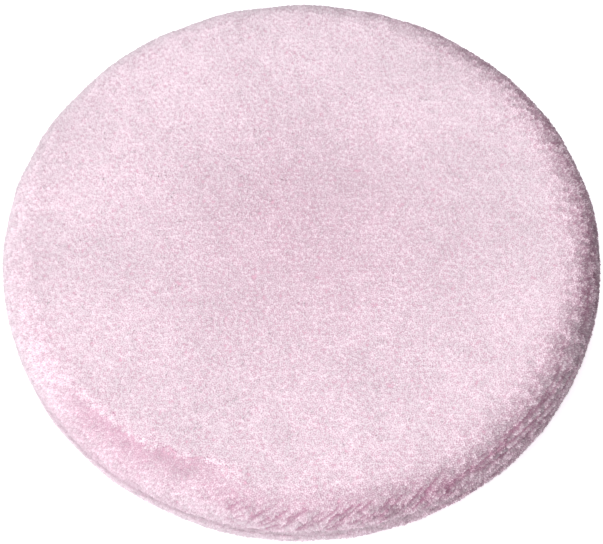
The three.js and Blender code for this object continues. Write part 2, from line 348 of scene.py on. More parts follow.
# The cloth is simulated ten times larger, as Blender's defaults expect, a little too wide and pressed out
# from inside. A share of its folds is kept, and the form itself isn't moved.
def settleCloth(sheet, reach, height, seamRing):
    scale = 10
    before = readPoints(sheet.data)
    normals = readNormals(sheet.data)
    offReach = np.abs(reachAndBearing(before)[0][:, None] - reach)
    ringOf = np.argmin(offReach + np.abs(before[:, 2][:, None] - height), axis=1)
    writePoints(sheet.data, before * scale)
    seam = sheet.vertex_groups.new(name="seam")
    seam.add([int(i) for i in np.flatnonzero(ringOf >= seamRing)], 1.0, "REPLACE")
    soleSelect(sheet)
    bpy.ops.object.modifier_add(type="CLOTH")
    cloth = sheet.modifiers[-1].settings
    cloth.quality = 5
    cloth.effector_weights.gravity = 0
    cloth.use_pressure = True
    cloth.uniform_pressure_force = cover["pressure"]
    cloth.vertex_group_mass = "seam"
    cloth.shrink_min = -cover["fullness"]
    for step in range(1, cover["frames"] + 1):
        bpy.context.scene.frame_set(step)
    settled = sheet.evaluated_get(bpy.context.evaluated_depsgraph_get())
    after = readPoints(settled.data) / scale
    sheet.modifiers.clear()
    bpy.context.scene.frame_set(1)
    swell = ((after - before) * normals).sum(1)
    counts = np.bincount(ringOf, minlength=len(reach))
    swell -= (np.bincount(ringOf, swell, len(reach)) / np.maximum(counts, 1))[ringOf]
    folds = cover["foldShare"] * cover["mostMove"] * np.tanh(swell / cover["mostMove"])
    print(f"  folds up to {np.abs(folds).max():.3f} mm, mean {np.abs(folds).mean():.3f} mm")
    writePoints(sheet.data, before + normals * folds[:, None])
    sheet.vertex_groups.clear()


def modelPanel(name, pressed):
    reach, height = panelSection(cover["rootDepth"], pressed, cover["spacing"])[1:]
    turnedIn = np.linspace(reach[-1], rawEdgeRadius, cover["allowanceSteps"] + 1)[1:]
    wholeReach = np.r_[reach, turnedIn]
    wholeHeight = np.r_[height, np.full(len(turnedIn), height[-1])]
    panel = spinSection(name, wholeReach, wholeHeight, cover["sectors"])
    if readNormals(panel.data)[0][2] < 0:
        flipNormals(panel)
    settleCloth(panel, wholeReach, wholeHeight, len(reach) - 1)
    points = readPoints(panel.data)
    if not pressed:
        at, bearing = reachAndBearing(points)
        points[:, 2] -= dimpleDrop(at, points[:, 2], bearing)
    turned = points[:, 2] < height[-1] + cover["seamBand"]
    onRibbon = overRibbon(points[:, 1])
    thickness = np.where(turned, cover["allowanceThickness"], cover["clothThickness"])
    if pressed:
        pressedIn = cover["channelDepth"] * onRibbon * ~turned
        points -= readNormals(panel.data) * pressedIn[:, None]
        thickness -= pressedIn
    low = smoothStep(cover["spreadHeight"] - points[:, 2], cover["spreadHeight"])
    inner = reachAndBearing(points)[0] > rawEdgeRadius - 1
    points[:, 2] += cover["tailSpread"] * low * inner * onRibbon
    writePoints(panel.data, points)
    thick = panel.vertex_groups.new(name="thick")
    for i, share in enumerate(thickness / cover["clothThickness"]):
        thick.add([i], float(share), "REPLACE")
    finishModifier(
        panel, "SOLIDIFY", {"thickness": cover["clothThickness"] * mm, "offset": -1, "vertex_group": "thick"}
    )
    panel.vertex_groups.clear()
    finishModifier(panel, "SUBSURF", {"levels": 1, "render_levels": 1, "use_limit_surface": False})
    cutHoles(panel, 0)
    points = readPoints(panel.data)
    points[:, 2] = seamZ + points[:, 2] * (-1 if pressed else 1)
    writePoints(panel.data, points)
    if pressed:
        flipNormals(panel)
    smooth(panel)
    return panel


def flipNormals(piece):
    soleSelect(piece)
    bpy.ops.object.mode_set(mode="EDIT")
    bpy.ops.mesh.select_all(action="SELECT")
    bpy.ops.mesh.flip_normals()
    bpy.ops.object.mode_set(mode="OBJECT")


# Velour pile: tufts of fibre locks, each modelled once and then sown. Pairs are the start and width of a
# smooth step, and the way onto the edge is an angle in radians from the crown.
pile = {
    "pitch": 0.81,  # about 100 tufts cross the face
    "rowShare": 0.866,  # of a hexagonal grid
    "jitterShare": 0.5,
    "spreading": (9, 0.25, 1.15, 8),  # rounds, push, reach in pitches and neighbours
    "height": 0.4,
    "rootedIn": 0.15,
    "rings": [(0, 1, 1.0), (0.21, 5, 0.94), (0.41, 9, 0.72)],  # radius, locks and height share in a tuft
    "lockWidth": 0.7,  # across the root
    "tipDrift": 0.08,
    "kinds": 6,
    "breadth": (0.9, 1.15),
    "heightSpread": 0.06,
    "whorls": (0.03, 0.8),  # lean and size of the whorls in its tips
    "looseLean": 0.1,
    "mostLean": 1.1,
    "leanLower": 0.12,
    "tipCurve": 1.7,  # a lock leans most near its tip
    "toneSpread": 0.14,  # between locks, and how much of it a whole tuft shares
    "toneShared": 0.75,
    # round the rim it is longer, looser and lumpier, most of all where it has been brushed up, and painted
    # darker there as shade
    "rim": (-0.65, 1.55),
    "brushedShadedBearing": math.radians(8),
    "brushed": (0.1, 1.1),
    "brushedLower": 0.6,
    "brushedLeast": 0.2,
    "rimTaller": 0.1,
    "rimLooser": 1.1,
    "rimLumps": (0.22, 1.6),
    # a wider spread of tones round the rim, partly random tone and partly painted glints
    "rimTonesAndGlints": 3.8,
    "rimPaintedShade": 0.68,  # painted shade over the rim, but for the locks kept pale
    "paleGlints": (0.35, 0.45, 0.72),  # start, width and most, of the locks kept pale as painted glints
    "glintShared": 0.3,
    # patches: bearing, how its cosine and the way onto the edge begin, and how the latter ends
    "lessRimShade": (math.radians(-38), (0.9, 0.08), (0.2, 0.5), (1.1, 0.5)),  # less painted shade at the lower right
    "lessRimShadeShare": 0.5,
    "bottom": (math.radians(-84), (0.87, 0.1), (0, 0.6), (0.8, 0.5)),  # and more painted shade at the bottom
    "bottomPaintedShade": 0.25,
    "side": (0.9, 0.7),
    # painted shade on the side below the shoulder, which turns down away from the lights
    "sidePaintedShade": 0.2,
    # painted shade in the drawn-in seam
    "seamPaintedShade": 0.22,
    "seamFill": 0.35,  # how far the pile stands out over the drawn-in seam
    "seamFillSpread": (0.7, 1.1),
    "seamLean": (0.2, 1.3),  # how much it leans over it, and from how far away
    "seamPitch": 0.45,
    "pastSeam": (0.1, 1.1),  # how far past the seam plane it may hang
    "underRibbon": 0.3,  # share of its height that the ribbon leaves it
    "middlePaintedShade": 0.2,  # painted shade: the middle of the face is darker and pinker
    "middleReach": 30,
    "napSize": 11,  # size of faint patches in the nap
    "napLean": 0.15,
    "napBearing": math.radians(250),
    "clothShade": 0.9,  # how much a lock is lit as the cloth is
    "rimShade": 0.4,
    "uprightFrom": 1.3,  # in lobe offsets: lower down it is lit as one upright side
    "seed": 11,
}


def modelLock(name):
    bpy.ops.object.select_all(action="DESELECT")
    bpy.ops.mesh.primitive_cone_add(
        vertices=3, radius1=0.5, radius2=0, depth=1, end_fill_type="NOTHING", location=(0, 0, 0.5)
    )
    lock = bpy.context.object
    lock.name = lock.data.name = name
    applyPlace()
    return lock


# One tuft as arrays: x and y in millimetres, and z from 0 at the roots to 1 at the tips
def gatherTuft(lock, random):
    points = readPoints(lock.data) * mm
    corners = np.array([p.vertices[:] for p in lock.data.polygons])
    allPoints, allCorners, allPlaces, allTones = [], [], [], []
    locks = sum(count for radius, count, share in pile["rings"])
    for radius, count, share in pile["rings"]:
        first = random.uniform(0, math.tau)
        for k in range(count):
            turn = random.uniform(0, math.tau)
            turned = points.copy()
            turned[:, 0] = points[:, 0] * math.cos(turn) - points[:, 1] * math.sin(turn)
            turned[:, 1] = points[:, 0] * math.sin(turn) + points[:, 1] * math.cos(turn)
            turned[:, :2] *= pile["lockWidth"] * random.uniform(0.8, 1.2)
            around = first + math.tau * (k + random.uniform(-0.2, 0.2)) / count
            root = radius * np.array([math.cos(around), math.sin(around)])
            turned[:, :2] += root + pile["tipDrift"] * random.normal(0, 1, 2) * points[:, 2:]
            turned[:, 2] *= share * random.uniform(0.9, 1.05)
            # its own patch of the texture sheet, as a share of the tuft's
            angle = np.arctan2(points[:, 1], points[:, 0]) / math.tau % 1
            across = (len(allPoints) + 0.15 + 0.7 * angle) / locks
            allPlaces.append(np.stack([across, 0.06 + 0.88 * points[:, 2]], 1))
            allCorners.append(corners + len(allPoints) * len(points))
            allPoints.append(turned)
            allTones.append(np.full(len(points), random.uniform(0, 1)))
    return [np.concatenate(a) for a in (allPoints, allCorners, allPlaces, allTones)]


# Short partings where the cloth bends over the shoulder. Bearings and latitudes are in degrees: latitude 90
# is on the crown and 0 on the widest ring.
partings = {
    "halfWidth": 0.18,
    "endWidth": 0.4,
    "shorter": 0.7,
    "rows": [
        # first bearing, last bearing, latitude, dashes, dash length in degrees, climb over a dash, strength
        (-64, -10, 32, 8, 12, 12, 0.25),
        (-66, -18, 46, 5, 10, 12, 0.15),
        (-62, -12, 18, 8, 11, 8, 0.2),
        (-57, -57, 20, 1, 34, -24, 0.85),
        (-53, -53, 36, 1, 36, -26, 0.8),
        (-66, -66, 29, 1, 21, 20, 0.75),
        (-49, -49, 52, 1, 24, -14, 0.8),
        (-104, -62, 28, 20, 2.2, 12, 0.45),
        (-102, -60, 14, 20, 1.8, 12, 0.5),
        (-98, -60, 2, 18, 1.6, 10, 0.45),
    ],
    "latitudeSpread": 7,
    "lengthSpread": (0.6, 1.2),
    "strengthSpread": (0.5, 1.2),
    "seed": 5,
}


def layPartings(edgeStart):
    random = np.random.default_rng(partings["seed"])
    dashes = []
    for first, last, latitude, count, length, climb, strength in partings["rows"]:
        for k in range(count):
            start = first + (last - first) * (k + random.uniform(-0.5, 0.5)) / count
            low = latitude + random.uniform(-1, 1) * partings["latitudeSpread"]
            end = start + length * random.uniform(*partings["lengthSpread"])
            places = [
                (bearing * rootReach, edgeStart + rootEdge * (crownEdgeAngle - up))
                for bearing, up in np.radians([(start, low), (end, low + climb)])
            ]
            dashes.append((*places, strength * random.uniform(*partings["strengthSpread"])))
    return dashes


# How far each lock lies in a parting, from 0 to 1, with a row for each tuft
def partingDepth(along, bearing, dashes, near):
    wholeTurn = math.tau * rootReach
    depth = np.zeros(along.shape)
    for (x0, y0), (x1, y1), strength in dashes:
        length = math.hypot(x1 - x0, y1 - y0)
        ux, uy = (x1 - x0) / length, (y1 - y0) / length
        rough = (bearing[:, 0] * rootReach - x0 + wholeTurn / 2) % wholeTurn - wholeTurn / 2
        chosen = near & (np.abs(rough) < length + 2) & (np.abs(along[:, 0] - y0) < length + 2)
        dx = (bearing[chosen] * rootReach - x0 + wholeTurn / 2) % wholeTurn - wholeTurn / 2
        dy = along[chosen] - y0
        onward = dx * ux + dy * uy
        off = dy * ux - dx * uy
        beyond = np.clip(np.maximum(-onward, onward - length), 0, None)
        line = np.exp(-((off / partings["halfWidth"]) ** 2) - (beyond / partings["endWidth"]) ** 2)
        depth[chosen] = np.maximum(depth[chosen], strength * line)
    return depth.clip(0, 1)


def noiseSlope(points, size, seedShift):
    step = 0.2
    slopes = np.zeros((len(points), 3))
    for i, point in enumerate(points):
        at = Vector(point / size) + Vector((seedShift, seedShift, seedShift))
        here = noise.noise(at)
        for axis in range(3):
            beside = at.copy()
            beside[axis] += step
            slopes[i, axis] = (noise.noise(beside) - here) / step
    return slopes


# Tufts stand at random, yet nearly the same way apart
def spreadOut(flat):
    rounds, strength, reach, neighbours = pile["spreading"]
    for k in range(rounds):
        tree = KDTree(len(flat))
        for i, (x, y) in enumerate(flat):
            tree.insert((x, y, 0), i)
        tree.balance()
        near = np.array([[found[1] for found in tree.find_n((x, y, 0), neighbours)] for x, y in flat])
        away = flat[:, None, :] - flat[near]
        distance = np.linalg.norm(away, axis=2)
        push = np.clip(pile["pitch"] * reach - distance, 0, None) / np.maximum(distance, 1e-6)
        flat = flat + strength * (away * push[:, :, None]).sum(1)
    return flat


# Where tufts stand: s along the half-section, bearing, reach r and height h, and the directions there
def plantPlaces(panel, pressed, along, reach, height, random):
    full, pitch = along[-1], pile["pitch"]
    across, down = math.ceil(full / pitch), math.ceil(full / (pitch * pile["rowShare"]))
    rows, columns = np.arange(-down, down + 1), np.arange(-across - 1, across + 2)
    gridX, gridY = np.meshgrid(columns * pitch, rows * pitch * pile["rowShare"])
    gridX = gridX + (rows % 2)[:, None] * pitch / 2
    flat = np.stack([gridX.ravel(), gridY.ravel()], 1)
    flat = spreadOut(flat + random.uniform(-1, 1, flat.shape) * pitch * pile["jitterShare"])
    s = np.hypot(flat[:, 0], flat[:, 1])
    inside = s < full - 0.1
    flat, s = flat[inside], s[inside]
    bearing = np.arctan2(flat[:, 1], flat[:, 0])
    r, h = np.interp(s, along, reach), np.interp(s, along, height)
    slopeR = np.interp(s, along, np.gradient(reach, along))
    slopeH = np.interp(s, along, np.gradient(height, along))
    up = np.array([0, 0, -1.0 if pressed else 1.0])
    out, roundDir = outAndRound(bearing)
    alongDir = slopeR[:, None] * out + slopeH[:, None] * up
    normal = -slopeH[:, None] * out + slopeR[:, None] * up
    normal /= np.linalg.norm(normal, axis=1)[:, None]
    place = r[:, None] * out + h[:, None] * up + np.array([0, 0, seamZ])
    # roots are set on the cloth itself, and turned most of the way to its normal
    tree = BVHTree.FromObject(panel, bpy.context.evaluated_depsgraph_get())
    for i in range(len(place)):
        start = Vector((place[i] + normal[i] * 1.5) * mm)
        hit, hitNormal = tree.ray_cast(start, Vector(-normal[i]), 4 * mm)[:2]
        if hit is not None:
            place[i] = np.array(hit) / mm
            lifted = 0.3 * normal[i] + np.array(hitNormal)
            normal[i] = lifted / np.linalg.norm(lifted)
    # one more row stands straight out of the seam and closes it
    count = round(math.tau * reach[-1] / pile["seamPitch"])
    extra = (np.arange(count) + random.uniform(-0.2, 0.2, count)) * math.tau / count - math.pi
    extraOut, extraRound = outAndRound(extra)
    return {
        "s": np.r_[s, np.full(count, full)],
        "bearing": np.r_[bearing, extra],
        "r": np.r_[r, np.full(count, reach[-1])],
        "h": np.r_[h, np.zeros(count)],
        "place": np.r_[place, (reach[-1] - 0.1) * extraOut + np.array([0, 0, seamZ]) + 0.1 * up],
        "normal": np.r_[normal, extraOut],
        "alongDir": np.r_[alongDir, np.tile(-up, (count, 1))],
        "roundDir": np.r_[roundDir, extraRound],
    }


def outAndRound(bearing):
    x, y = np.cos(bearing), np.sin(bearing)
    return np.stack([x, y, 0 * x], 1), np.stack([-y, x, 0 * x], 1)


def inPatch(bearing, onEdge, middle, round, begin, end):
    across = stepFrom(np.cos(bearing - middle), round)
    return across * stepFrom(onEdge, begin) * (1 - stepFrom(onEdge, end))


# What each tuft is like
def dressTufts(sown, pressed, onEdge, kinds, random):
    s, bearing, r, h, place, normal, alongDir, roundDir = sown.values()
    count = len(s)
    lower = np.clip(onEdge - 0.2, 0, 1)
    # the brushed sector, on the right away from the lights, is also where the rim's painted shade is darkest
    toBrushed = np.cos(bearing - pile["brushedShadedBearing"]) + pile["brushedLower"] * lower
    brushed = stepFrom(toBrushed, pile["brushed"])
    rim = stepFrom(onEdge, pile["rim"]) * (pile["brushedLeast"] + (1 - pile["brushedLeast"]) * brushed)
    (whorlLean, whorlSize), (lumpLean, lumpSize) = pile["whorls"], pile["rimLumps"]
    lean = whorlLean * noiseSlope(place, whorlSize, 3.7 + pressed)
    lean += (lumpLean * rim)[:, None] * noiseSlope(place, lumpSize, 17.1 + pressed)
    lean += (pile["looseLean"] * (1 + pile["rimLooser"] * rim))[:, None] * random.normal(0, 1, place.shape)
    lean += pile["napLean"] * outAndRound(np.array([pile["napBearing"]]))[0]
    dent = 0 * s if pressed else dentShare(r, bearing)
    lean += (dimple["napLean"] * dent)[:, None] * alongDir
    seamLean, away = pile["seamLean"]
    lean += (seamLean * smoothStep(s - s.max() + away, away))[:, None] * alongDir
    lean -= (lean * normal).sum(1)[:, None] * normal
    size = np.linalg.norm(lean, axis=1)
    lean *= (np.tanh(size / pile["mostLean"]) * pile["mostLean"] / np.maximum(size, 1e-6))[:, None]
    tall = pile["height"] * (1 + pile["heightSpread"] * random.normal(0, 1, count))
    tall *= 1 - pile["leanLower"] * np.clip(size, 0, 1.5) ** 2
    tall *= 1 + pile["rimTaller"] * rim
    overSeam = np.clip(1 - h / puffForm["lobeOffset"], 0, 1) ** 2
    tall += pile["seamFill"] * overSeam * random.uniform(*pile["seamFillSpread"], count)
    if pressed:
        underRibbon = np.abs(place[:, 1]) < ribbon["width"] / 2 + ribbon["room"] - 0.1
        tall = np.where(underRibbon, tall * pile["underRibbon"], tall)
    tall *= 1 - dimple["napLower"] * dent
    # painted shade: how far the colour is moved toward the roots' darker pink
    paintedShade = dimple["dentPaintedShade"] * dent
    paintedShade = paintedShade + pile["middlePaintedShade"] * smoothStep(pile["middleReach"] - r, pile["middleReach"])
    paintedShade += pile["sidePaintedShade"] * stepFrom(onEdge, pile["side"]) + pile["seamPaintedShade"] * overSeam
    paintedShade += pile["bottomPaintedShade"] * inPatch(bearing, onEdge, *pile["bottom"])
    lessRimShade = inPatch(bearing, onEdge, *pile["lessRimShade"])
    # the pile closes over the drawn-in seam, which is lit as one upright side
    shade = pile["clothShade"] + (pile["rimShade"] - pile["clothShade"]) * rim
    upright = smoothStep(pile["uprightFrom"] * puffForm["lobeOffset"] - h, puffForm["lobeOffset"])[:, None]
    lit = (1 - upright) * normal + upright * outAndRound(bearing)[0]
    lit *= (shade / np.linalg.norm(lit, axis=1))[:, None]
    tone = random.uniform(0, 1, count)
    spin = random.uniform(0, math.tau, count)[:, None]
    breadth = random.uniform(*pile["breadth"], count)
    kind = random.integers(0, kinds, count)
    past = random.uniform(*pile["pastSeam"], count)
    sideA = np.cos(spin) * np.cross(normal, roundDir) + np.sin(spin) * roundDir
    return {
        **sown, "onEdge": onEdge, "rim": rim, "lean": lean, "tall": tall, "paintedShade": paintedShade, "lit": lit,
        "tone": tone, "breadth": breadth, "kind": kind, "past": past, "sideA": sideA,
        "sideB": np.cross(normal, sideA),
        "rimPaintedShade": pile["rimPaintedShade"] * rim * (1 - pile["lessRimShadeShare"] * lessRimShade),
        "nap": np.array([noise.noise(Vector(p / pile["napSize"])) for p in place]),
    }


def sowPile(names, panel, pressed, tufts, material):
    random = np.random.default_rng(pile["seed"] + pressed)
    along, reach, height = panelSection(cover["rootDepth"], pressed, fineSpacing)
    sown = plantPlaces(panel, pressed, along, reach, height, random)
    widest = np.argmax(reach)
    startReach = edgeCentre + rootEdge * math.cos(crownEdgeAngle)
    edgeStart = np.interp(startReach, reach[:widest], along[:widest])
    onEdge = (sown["s"] - edgeStart) / rootEdge
    sown = dressTufts(sown, pressed, onEdge, len(tufts), random)
    dashes = layPartings(edgeStart)
    part = np.floor((sown["bearing"] / math.tau % 1) * len(names)).astype(int).clip(0, len(names) - 1)
    pieces = []
    for number, name in enumerate(names):
        chosen = part == number
        gridSide = math.ceil(math.sqrt(chosen.sum()))
        sown["cell"] = np.cumsum(chosen) - 1
        groups, total = [], 0
        for k, tuft in enumerate(tufts):
            own = chosen & (sown["kind"] == k)
            at = {key: value[own] for key, value in sown.items()}
            groups.append(placeTufts(tuft, at, pressed, dashes, gridSide, total))
            total += own.sum() * len(tuft[0])
        pieces.append(buildPile(name, [np.concatenate(column) for column in zip(*groups)], material))
    print(f"  {len(onEdge)} tufts, {sum(len(p.data.polygons) for p in pieces)} triangles")
    return pieces


# The tufts of one kind in a piece: points, corners, shares up the lock less their painted shade, tones, nap,
# places on the texture sheet and shading directions
def placeTufts(tuft, at, pressed, dashes, gridSide, total):
    points, corners, places, lockTones = tuft
    column = {key: value[:, None] for key, value in at.items()}
    shifts = points[:, 0, None] * column["sideA"] + points[:, 1, None] * column["sideB"]
    z = points[None, :, 2]
    parted = np.zeros((len(at["s"]), len(points)))
    if not pressed:
        lockAlong = column["s"] + (shifts * column["alongDir"]).sum(2)
        lockRound = column["bearing"] + (shifts * column["roundDir"]).sum(2) / column["r"]
        parted = partingDepth(lockAlong, lockRound, dashes, at["onEdge"] > -0.5)
    z = z * (1 - partings["shorter"] * parted)
    made = column["place"] - column["normal"] * pile["rootedIn"]
    for axis, side in ((0, "sideA"), (1, "sideB")):
        made = made + points[None, :, axis, None] * (at[side] * column["breadth"])[:, None]
    made = made + z[:, :, None] * (at["normal"] * (column["tall"] + pile["rootedIn"]))[:, None]
    made = made + (z ** pile["tipCurve"])[:, :, None] * (at["lean"] * column["tall"])[:, None]
    if pressed:
        made[..., 2] = made[..., 2].clip(0.02, seamZ + column["past"])
    else:
        made[..., 2] = made[..., 2].clip(seamZ - column["past"], None)
    lockTone = pile["toneShared"] * column["tone"] + (1 - pile["toneShared"]) * lockTones[None]
    # some locks are spared the rim's painted shade and show as pale specks: painted glints
    (start, width, most), shared = pile["paleGlints"], pile["glintShared"]
    glinting = most * smoothStep(shared * column["tone"] + (1 - shared) * lockTones[None] - start, width)
    paintedShade = np.maximum(column["rimPaintedShade"] * (1 - glinting), column["paintedShade"])
    spread = pile["toneSpread"] * (1 + pile["rimTonesAndGlints"] * column["rim"])
    cell = np.stack([at["cell"] % gridSide, at["cell"] // gridSide], 1)
    first = total + np.arange(len(made)) * len(points)
    return (
        made.reshape(-1, 3),
        (first[:, None, None] + corners[None]).reshape(-1, 3),
        # in the partings the colour is also painted toward the roots' darker pink, as shade in the crease
        (z * (1 - parted) * (1 - paintedShade)).ravel(),
        (1 + spread * (lockTone - 0.5)).ravel(),
        np.repeat(at["nap"], len(points)),
        ((cell[:, None] + places[None]) / gridSide).reshape(-1, 2),
        np.repeat(at["lit"], len(points), axis=0),
    )


def buildPile(name, columns, material):
    points, corners, shares, tones, naps, places, lit = columns
    mesh = bpy.data.meshes.new(name)
    mesh.vertices.add(len(points))
    mesh.vertices.foreach_set("co", (points * mm).ravel())
    mesh.loops.add(corners.size)
    mesh.loops.foreach_set("vertex_index", corners.ravel())
    mesh.polygons.add(len(corners))
    mesh.polygons.foreach_set("loop_start", np.arange(len(corners)) * 3)
    mesh.polygons.foreach_set("use_smooth", np.ones(len(corners), bool))
    for attribute, values in (("tipShareLessPaintedShade", shares), ("tuftTone", tones), ("napTone", naps)):
        mesh.attributes.new(attribute, "FLOAT", "POINT").data.foreach_set("value", values.astype(np.float32))
    mesh.uv_layers.new(name="OFBake").data.foreach_set("uv", places[corners.ravel()].ravel())
    mesh.update(calc_edges=True)
    mesh.validate()
    shading = readNormals(mesh) * (1 - np.linalg.norm(lit, axis=1))[:, None] + lit
    shading /= np.linalg.norm(shading, axis=1)[:, None]
    mesh.normals_split_custom_set_from_vertices(shading.tolist())
    mesh.materials.append(material)
    piece = bpy.data.objects.new(name, mesh)
    bpy.context.scene.collection.objects.link(piece)
    return piece


# Foam disc, nipped in at its rim round the sewn allowances
foam = {
    "depth": 2.1,  # 0.3 mm clear of the cloth
    "nipHeight": 2.35,
    "nipRadius": 32.79,
    "nipRows": 7,
    "dentSlack": 1.3,  # how much wider the dimple is in it
    "sampling": 0.1,
    "spacing": 1.0,
    "sectors": 120,
}


def modelFoam():
    halves = []
    for pressed in (False, True):
        along, reach, height = panelSection(foam["depth"], pressed, foam["sampling"])
        above = height > foam["nipHeight"]
        count = round(along[above][-1] / foam["spacing"])
        even = np.linspace(0, along[above][-1], count + 1)
        halves.append((np.interp(even, along, reach), np.interp(even, along, height)))
    nip = np.linspace(-foam["nipHeight"], foam["nipHeight"], foam["nipRows"])[::-1]
    (topReach, topHeight), (lowReach, lowHeight) = halves
    wholeReach = np.r_[topReach, np.full(len(nip), foam["nipRadius"]), lowReach[::-1]]
    wholeHeight = np.r_[topHeight, nip, -lowHeight[::-1]]
    core = spinSection("foamCore", wholeReach, wholeHeight, foam["sectors"])
    points = readPoints(core.data)
    reach, bearing = reachAndBearing(points)
    points[:, 2] -= dimpleDrop(reach, points[:, 2], bearing, foam["dentSlack"])
    points[:, 2] += seamZ
    writePoints(core.data, points)
    smooth(core)
    return core


def squared(share):
    return math.copysign(abs(share) ** stitch["squareness"], share)


# Place of the thread after a number of stitches, and the way outward from its heart
def threadPlace(turns):
    radius = stitch["plyRadius"] * 2
    spin = math.tau * turns
    bearing = (turns - math.sin(spin) / math.tau) * math.tau / stitch["count"]
    inner = rawEdgeRadius - radius - stitch["edgeGap"]
    middle = (stitch["needleRadius"] + inner) / 2
    reach = middle + (stitch["needleRadius"] - inner) / 2 * squared(math.cos(spin))
    spread = cover["tailSpread"] * float(overRibbon(np.array(reach * math.sin(bearing))))
    half = puffForm["seamGap"] / 2 + cover["allowanceThickness"] + radius + stitch["topGap"] + spread
    height = -half * squared(math.sin(spin))
    flat = Vector((math.cos(bearing), math.sin(bearing), 0))
    centre = flat * reach + Vector((0, 0, height))
    return centre, (centre - flat * middle).normalized()


def modelThread(name, run):
    first, last = run[0] - stitch["tailEnd"], run[1] + stitch["tailEnd"]
    steps = round((last - first) * stitch["steps"])
    places = [threadPlace(first + (last - first) * k / steps) for k in range(steps + 1)]
    data = bpy.data.curves.new(name, "CURVE")
    data.dimensions = "3D"
    data.bevel_depth = stitch["plyRadius"] * mm
    data.bevel_resolution = 1
    data.use_fill_caps = True
    for ply in range(2):
        spline = data.splines.new("POLY")
        spline.points.add(steps)
        travelled = 0
        for k, (centre, outward) in enumerate(places):
            if k:
                travelled += (centre - places[k - 1][0]).length
            onward = (places[min(k + 1, steps)][0] - places[max(k - 1, 0)][0]).normalized()
            across = onward.cross(outward).normalized()
            turn = math.tau * travelled / stitch["plyTwist"] + math.pi * ply
            way = across * math.cos(turn) + across.cross(onward) * math.sin(turn)
            point = centre + way * stitch["plyRadius"] * stitch["plyNest"] + Vector((0, 0, seamZ))
            spline.points[k].co = (*(point * mm), 1)
    thread = bpy.data.objects.new(name, data)
    bpy.context.scene.collection.objects.link(thread)
    soleSelect(thread)
    bpy.ops.object.convert(target="MESH")
    thread = bpy.context.object
    thread.data.name = name
    smooth(thread)
    return thread


# Half of the finger ribbon, from the middle of the back to the tail in the seam
def modelRibbon(name, side):
    along, reach, height = panelSection(ribbon["sunk"], True, fineSpacing)
    turned = reach[-1] - np.arange(fineSpacing, reach[-1] - rawEdgeRadius, fineSpacing)
    reach = np.r_[reach, turned]
    height = np.r_[height, np.zeros(len(turned))]
    left = along[-1] - np.r_[along, np.full(len(turned), along[-1])]
    height[left < ribbon["seamStretch"]] = 0
    lines = np.linspace(-1, 1, ribbon["rows"] + 1) * ribbon["width"] / 2
    paths = []
    for y in lines:
        x = np.sqrt(np.clip(reach**2 - y**2, 0, None))
        kept = (reach > abs(y)) | (np.arange(len(reach)) > len(reach) / 2)
        x, h = x[kept], height[kept]
        x, h = np.r_[0, x], np.r_[height[0], h]
        travelled = np.r_[0, np.cumsum(np.hypot(np.diff(x), np.diff(h)))]
        paths.append((x, h, travelled))
    length = np.mean([p[2][-1] for p in paths])
    columns = round(length / ribbon["spacing"])
    bpy.ops.object.select_all(action="DESELECT")
    bpy.ops.mesh.primitive_grid_add(x_subdivisions=columns, y_subdivisions=ribbon["rows"], size=2)
    strip = bpy.context.object
    strip.name = strip.data.name = name
    points = readPoints(strip.data) * mm
    u, v = (points[:, 0] + 1) / 2, points[:, 1]
    row = np.rint((v + 1) / 2 * ribbon["rows"]).astype(int)
    made = np.zeros_like(points)
    for k, (x, h, travelled) in enumerate(paths):
        own = row == k
        at = u[own] * travelled[-1]
        made[own, 0] = np.interp(at, travelled, x)
        made[own, 2] = np.interp(at, travelled, h)
    made[:, 1] = v * ribbon["width"] / 2
    (lengthways, crossways), (rippleEnd, rippleFade) = ribbon["rippleWaves"], ribbon["rippleEnd"]
    free = smoothStep(rippleEnd - made[:, 0], rippleFade)
    made[:, 2] -= ribbon["ripple"] * free * np.sin(made[:, 0] * lengthways) * np.cos(made[:, 1] * crossways)
    made[:, 2] = seamZ - made[:, 2]
    made[:, 0] *= side
    writePoints(strip.data, made)
    if side < 0:
        flipNormals(strip)
    if readNormals(strip.data)[0][2] > 0:
        flipNormals(strip)
    finishModifier(strip, "SOLIDIFY", {"thickness": ribbon["thickness"] * mm, "offset": 0})
    points = readPoints(strip.data)
    ends = np.array([e.vertices[:] for e in strip.data.edges])
    atSide = (np.abs(points[ends][:, :, 1]) > ribbon["width"] / 2 - 0.01).all(1)
    spans = np.ptp(points[ends], axis=1)
    lengthwise = spans[:, 0] + spans[:, 2] > ribbon["thickness"] * 1.1
    weight = strip.data.attributes.new("bevel_weight_edge", "FLOAT", "EDGE")
    weight.data.foreach_set("value", (atSide & lengthwise).astype(np.float32))
    finishModifier(strip, "BEVEL", {"width": ribbon["edge"] * mm, "segments": 2, "limit_method": "WEIGHT"})
    soleSelect(strip)
    bpy.ops.object.shade_smooth_by_angle(angle=math.radians(50))
    return strip, length


# Polyester velour pile, sheared and brushed: pale tips over darker pink roots, a ramp that paints the shade
# deep in the pile, with a soft bloom
pileColours = {
    "tip": "#ebe1e7",
    "middle": "#e5d4dd",
    "root": "#a8728d",
}


